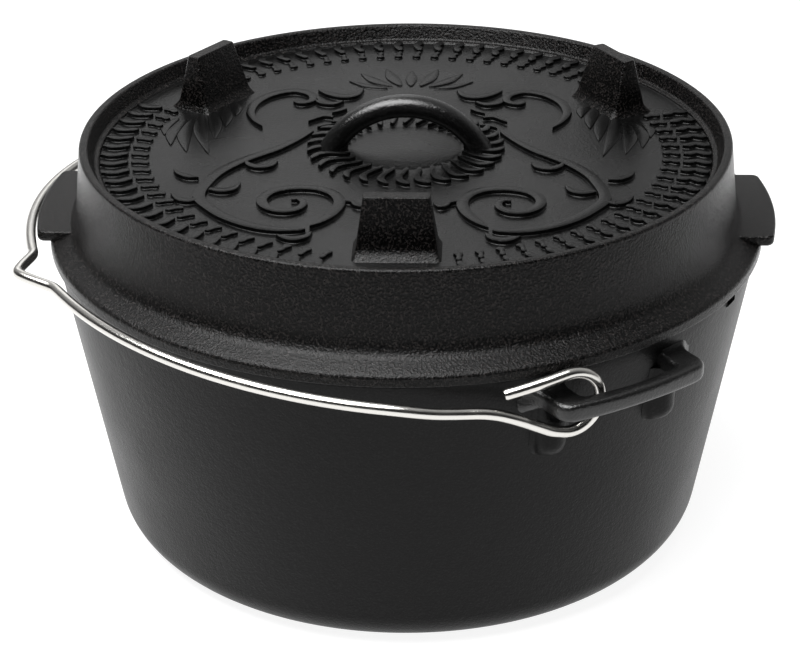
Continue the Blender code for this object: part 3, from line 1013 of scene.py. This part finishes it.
    def relief(self) -> list[bpy.types.Object]:
        """Build the raised figures.

        Returns:
            The border's tongues and beads, the rays, the scrolls, the leaf fans and the crest.
        """
        figures = Relief()
        border, beads, rays, scrolls, fans, crest = (Solid(f"lid_{name}") for name in (
            "border_tongues", "border_beads", "centre_rays", "scrolls", "leaf_fans", "crest"))
        figures.add_round(border, BORDER_TONGUE, self.tongues, self.first_tongue, 11,
                          self.tongue_rise, self.foot_turns)
        figures.add_round(beads, BORDER_BEAD, self.tongues, self.first_tongue, 9,
                          self.bead_rise, self.foot_turns)
        figures.add_round(rays, CENTRE_RAY, self.rays, self.first_ray, 14, self.ray_rise)
        for stroke in SCROLLS:
            figures.add_stroke(scrolls, stroke, Side.BOTH, 12 + 5 * len(stroke))
        for number, stroke in enumerate(FANS):
            figures.add_stroke(fans, stroke, Side.BOTH, 18, self.fan_rises[number % 2])
        for number, stroke in enumerate(CREST):
            side = Side.BOTH if number else Side.MIDDLE
            figures.add_stroke(crest, stroke, side, 16, self.crest_rise)
        return [solid.make() for solid in (border, beads, rays, scrolls, fans, crest)]

    def build(self) -> None:
        """Build and dress the lid's pieces."""
        skin, face = LID_SKIN.material(), LID_RELIEF.material()
        body = self.shell()
        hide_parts("lid")
        finish_piece(body, Body.LID, Slot.LID_IRON, skin, face)
        self.mark_plate(body)
        for piece in (self.tabs(), self.feet()):
            finish_piece(piece, Body.LID, Slot.LID_IRON, skin)
        finish_piece(self.handle(), Body.LID, Slot.LID_IRON, HANDLE_SKIN.material())
        for piece in self.relief():
            finish_piece(piece, Body.LID, Slot.LID_IRON, face)


# ---------------------------------------------------------------- bail


@dataclass
class Bail:
    """The bail: one wire with an open eye at each end and a vee in its middle.

    A point of the wire is worked out as (across the hinge, above it) on an upright cylinder.
    """

    wire: float = 4.8 * MM
    chamfer: float = 0.35 * MM
    points: int = 760
    hinge_z: float = 130.83 * MM
    hinge_turn: float = math.radians(-10.5)
    hinge_drop: float = math.radians(0.5)
    tilt: float = math.radians(5.5)
    radius: float = 169.2 * MM
    eye_wall: float = 164.3 * MM
    eye_centre: tuple[float, float] = (-3.8 * MM, 0.0)
    eye_radius: float = 13.2 * MM
    eye_leaves: float = 285.0
    eye_end: tuple[float, float] = (25.3 * MM, 5.5 * MM)
    # the wire from the eye to the arch, in millimetres
    lead: tuple[tuple[float, float], ...] = (
        (4.0, -11.8), (9.3, -9.6), (15.0, -7.2), (21.0, -5.0), (27.0, -3.3), (33.0, -2.5),
        (39.0, -2.4), (45.0, -2.2), (52.0, -1.7), (59.0, -0.9), (66.0, -0.2))
    widen: tuple[float, float] = (34.0 * MM, 70.0 * MM)
    arch_gap: float = 0.035
    peak_height: float = 10.35 * MM
    peak_half: float = 14.5 * MM
    peak_turn: float = 0.16
    peak_ease: float = 3.5 * MM
    peak_blend: float = 0.16
    # length of wire over which the draw lines' pattern moves on by one
    line_length: float = 0.05

    def eye(self) -> np.ndarray:
        """The wire from its free end round the eye and along the lead to the arch.

        Returns:
            Rows of (across, above).
        """
        centre, end = np.array(self.eye_centre), np.array(self.eye_end)
        reach = end - centre
        start = math.atan2(reach[1], reach[0]) + math.acos(self.eye_radius / np.linalg.norm(reach))
        loop = circle_part(self.eye_centre, self.eye_radius, math.degrees(start),
                           self.eye_leaves, 19)
        share = np.array([[0.0], [0.3], [0.7]])
        return np.vstack([end + (loop[0] - end) * share, loop, np.array(self.lead) * MM])

    def half_route(self) -> np.ndarray:
        """Half of the wire's middle line.

        The eye keeps to its own cylinder, which widens smoothly (3s^2 - 2s^3) to the arch's. The
        arch is a circle, and the vee stands out from it by a hyperbola-rounded tent.

        Returns:
            Rows of x along the hinge, y across it and z above it.
        """
        eye = self.eye()
        start, end = self.widen
        s = np.clip((eye[:, 0] - start) / (end - start), 0.0, 1.0)
        wall = self.eye_wall + (self.radius - self.eye_wall) * s * s * (3 - 2 * s)
        bent = np.column_stack([np.sqrt(wall ** 2 - eye[:, 0] ** 2), eye[:, 0], eye[:, 1]])
        first = math.asin(eye[-1, 0] / self.radius) + self.arch_gap
        near = math.pi / 2 - self.peak_turn
        turn = np.concatenate([np.linspace(first, near, 19),
                               near + self.peak_turn * np.arange(1, 15) / 14])
        along = self.radius * np.cos(turn)
        tent = 1.0 - (np.hypot(along, self.peak_ease) - self.peak_ease) / self.peak_half
        peak = self.peak_height * 0.5 * (tent + np.hypot(tent, self.peak_blend))
        arch = np.column_stack([along, self.radius * np.sin(turn) + peak, np.zeros(len(turn))])
        return np.vstack([bent, arch])

    def build(self) -> None:
        """Build and dress the bail.

        The wire is a circle carried along its route. Its frame is kept from twisting by projecting
        one fixed normal, square to the tangent. The ends are cut flat with a small chamfer.
        """
        half = self.half_route()
        fine = smooth_path(np.vstack([half, (half * (-1, 1, 1))[-2::-1]]), self.points, 3)
        tangent = unit(np.gradient(fine, axis=0))
        side = unit(np.cross(tangent, unit(fine * (1, 1, 0))))
        outward = np.cross(side, tangent)
        radius = np.full((len(fine), 1, 1), self.wire / 2)
        radius[[0, -1]] -= self.chamfer
        around = all_round(20)
        across, up = np.cos(around)[None, :, None], np.sin(around)[None, :, None]
        rings = fine[:, None] + (across * outward[:, None] + up * side[:, None]) * radius
        turn = Euler((-self.tilt, self.hinge_drop, self.hinge_turn), "XYZ").to_matrix()
        solid = Solid("bail_wire")
        solid.add_tube(rings * (1, -1, 1) @ np.array(turn).T + (0.0, 0.0, self.hinge_z))
        length = run_length(fine)
        length = np.concatenate([length[:1], length, length[-1:]])[:, None] / self.line_length
        route = np.broadcast_arrays(length, np.cos(around)[None], np.sin(around)[None])
        piece = solid.make(np.stack(route, axis=-1).reshape(-1, 3))
        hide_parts("bail")
        finish_piece(piece, Body.BAIL, Slot.BAIL_STEEL, WIRE_STEEL.material())


# ---------------------------------------------------------------- studio


@dataclass(frozen=True)
class Softbox:
    """A rectangular lamp that faces the oven.

    Attributes:
        name: the lamp's name.
        place: where it stands.
        size: its width and height.
        power: in watts.
        aim: the point it faces.
    """

    name: str
    place: tuple[float, float, float]
    size: tuple[float, float]
    power: float
    aim: tuple[float, float, float] = (0.0, 0.0, 0.09)

    def build(self) -> None:
        """Make the lamp."""
        lamp = bpy.data.lights.new(self.name, "AREA")
        lamp.shape = "RECTANGLE"
        lamp.size, lamp.size_y = self.size
        lamp.energy = self.power
        thing = bpy.data.objects.new(self.name, lamp)
        thing.location = self.place
        facing = Vector(self.aim) - Vector(self.place)
        thing.rotation_euler = facing.to_track_quat("-Z", "Y").to_euler()
        bpy.context.scene.collection.objects.link(thing)


@dataclass
class Studio:
    """A pale floor, soft lamps, the surrounding light and the camera."""

    view_turn: float = math.radians(57.5)
    eye: tuple[float, float, float] = (0.8043, -0.5124, 0.5703)
    aim: tuple[float, float, float] = (0.0, 0.0, 0.0867)
    roll: float = -0.0078
    lens: float = 103.5
    sensor: float = 36.0
    shift: float = -7.16 / 800
    floor_reach: float = 6.0
    floor_glow: float = 0.9
    # where the surroundings are brightest: its angle from the camera's right-hand side, its level
    # and upward parts, and the light's strength from the darkest side to there
    bright_turn: float = math.radians(72.0)
    bright_level: float = 0.85
    bright_up: float = 0.53
    air_strength: tuple[float, float] = (0.015, 0.5)

    def floor(self) -> None:
        """Lay the floor: white acrylic lit from below, so that it holds only faint shadows."""
        mesh = bpy.data.meshes.new("studio_floor")
        reach = self.floor_reach
        mesh.from_pydata([(-reach, -reach, 0), (reach, -reach, 0), (reach, reach, 0),
                          (-reach, reach, 0)], [], [(0, 1, 2, 3)])
        floor = bpy.data.objects.new("studio_floor", mesh)
        bpy.context.scene.collection.objects.link(floor)
        made, _, _ = new_material("white_light_table", {
            "Base Color": linear("#8c8c8c"), "Roughness": 0.9, "Specular IOR Level": 0.1,
            "Emission Color": linear("#ffffff"), "Emission Strength": self.floor_glow})
        mesh.materials.append(made)

    def around(self, turn: float, distance: float, height: float) -> tuple[float, float, float]:
        """A place given by its angle from the camera's right-hand side, in degrees."""
        angle = math.radians(turn) + self.view_turn
        return (distance * math.cos(angle), distance * math.sin(angle), height)

    def air(self) -> None:
        """Make the surrounding light: a smooth change of strength with direction, dark in front."""
        world = bpy.data.worlds.new("studio_air")
        world.use_nodes = True
        tree = world.node_tree
        look = add_node(tree, "ShaderNodeTexCoord").outputs["Generated"]
        angle = self.bright_turn + self.view_turn
        bright = (self.bright_level * math.cos(angle), self.bright_level * math.sin(angle),
                  self.bright_up)
        facing = add_node(tree, "ShaderNodeVectorMath", {1: bright}, {0: look},
                          operation="DOT_PRODUCT")
        dark, light = self.air_strength
        level = add_node(tree, "ShaderNodeMapRange",
                         {"From Min": -0.1, "From Max": 1.0, "To Min": dark, "To Max": light},
                         {"Value": facing.outputs["Value"]}, interpolation_type="SMOOTHSTEP")
        background = tree.nodes["Background"]
        background.inputs["Color"].default_value = linear("#ffffff")
        tree.links.new(level.outputs["Result"], background.inputs["Strength"])
        bpy.context.scene.world = world

    def camera(self) -> None:
        """Set the camera at its place, aimed, rolled a little and shifted to the framing."""
        data = bpy.data.cameras.new("camera")
        data.lens = self.lens
        data.sensor_width = self.sensor
        data.shift_x = self.shift
        camera = bpy.data.objects.new("camera", data)
        look = (Vector(self.aim) - Vector(self.eye)).to_track_quat("-Z", "Y").to_matrix()
        camera.matrix_world = (Matrix.Translation(self.eye)
                               @ (look @ Matrix.Rotation(self.roll, 3, "Z")).to_4x4())
        bpy.context.scene.collection.objects.link(camera)
        bpy.context.scene.camera = camera
        bpy.context.scene.view_settings.view_transform = "Standard"

    def build(self) -> None:
        """Build the floor, the lamps, the surrounding light and the camera."""
        self.floor()
        for lamp in (Softbox("key_overhead", self.around(218, 0.42, 1.3), (1.2, 1.0), 48.0),
                     Softbox("back_panel", self.around(105, 1.5, 1.0), (1.2, 0.5), 2.2)):
            lamp.build()
        self.air()
        self.camera()


def main() -> None:
    """Build the oven's pieces and the studio."""
    logging.basicConfig(level=logging.INFO, format="%(message)s")
    Pot().build()
    Lid().build()
    Bail().build()
    Studio().build()


if __name__ == "__main__":
    main()
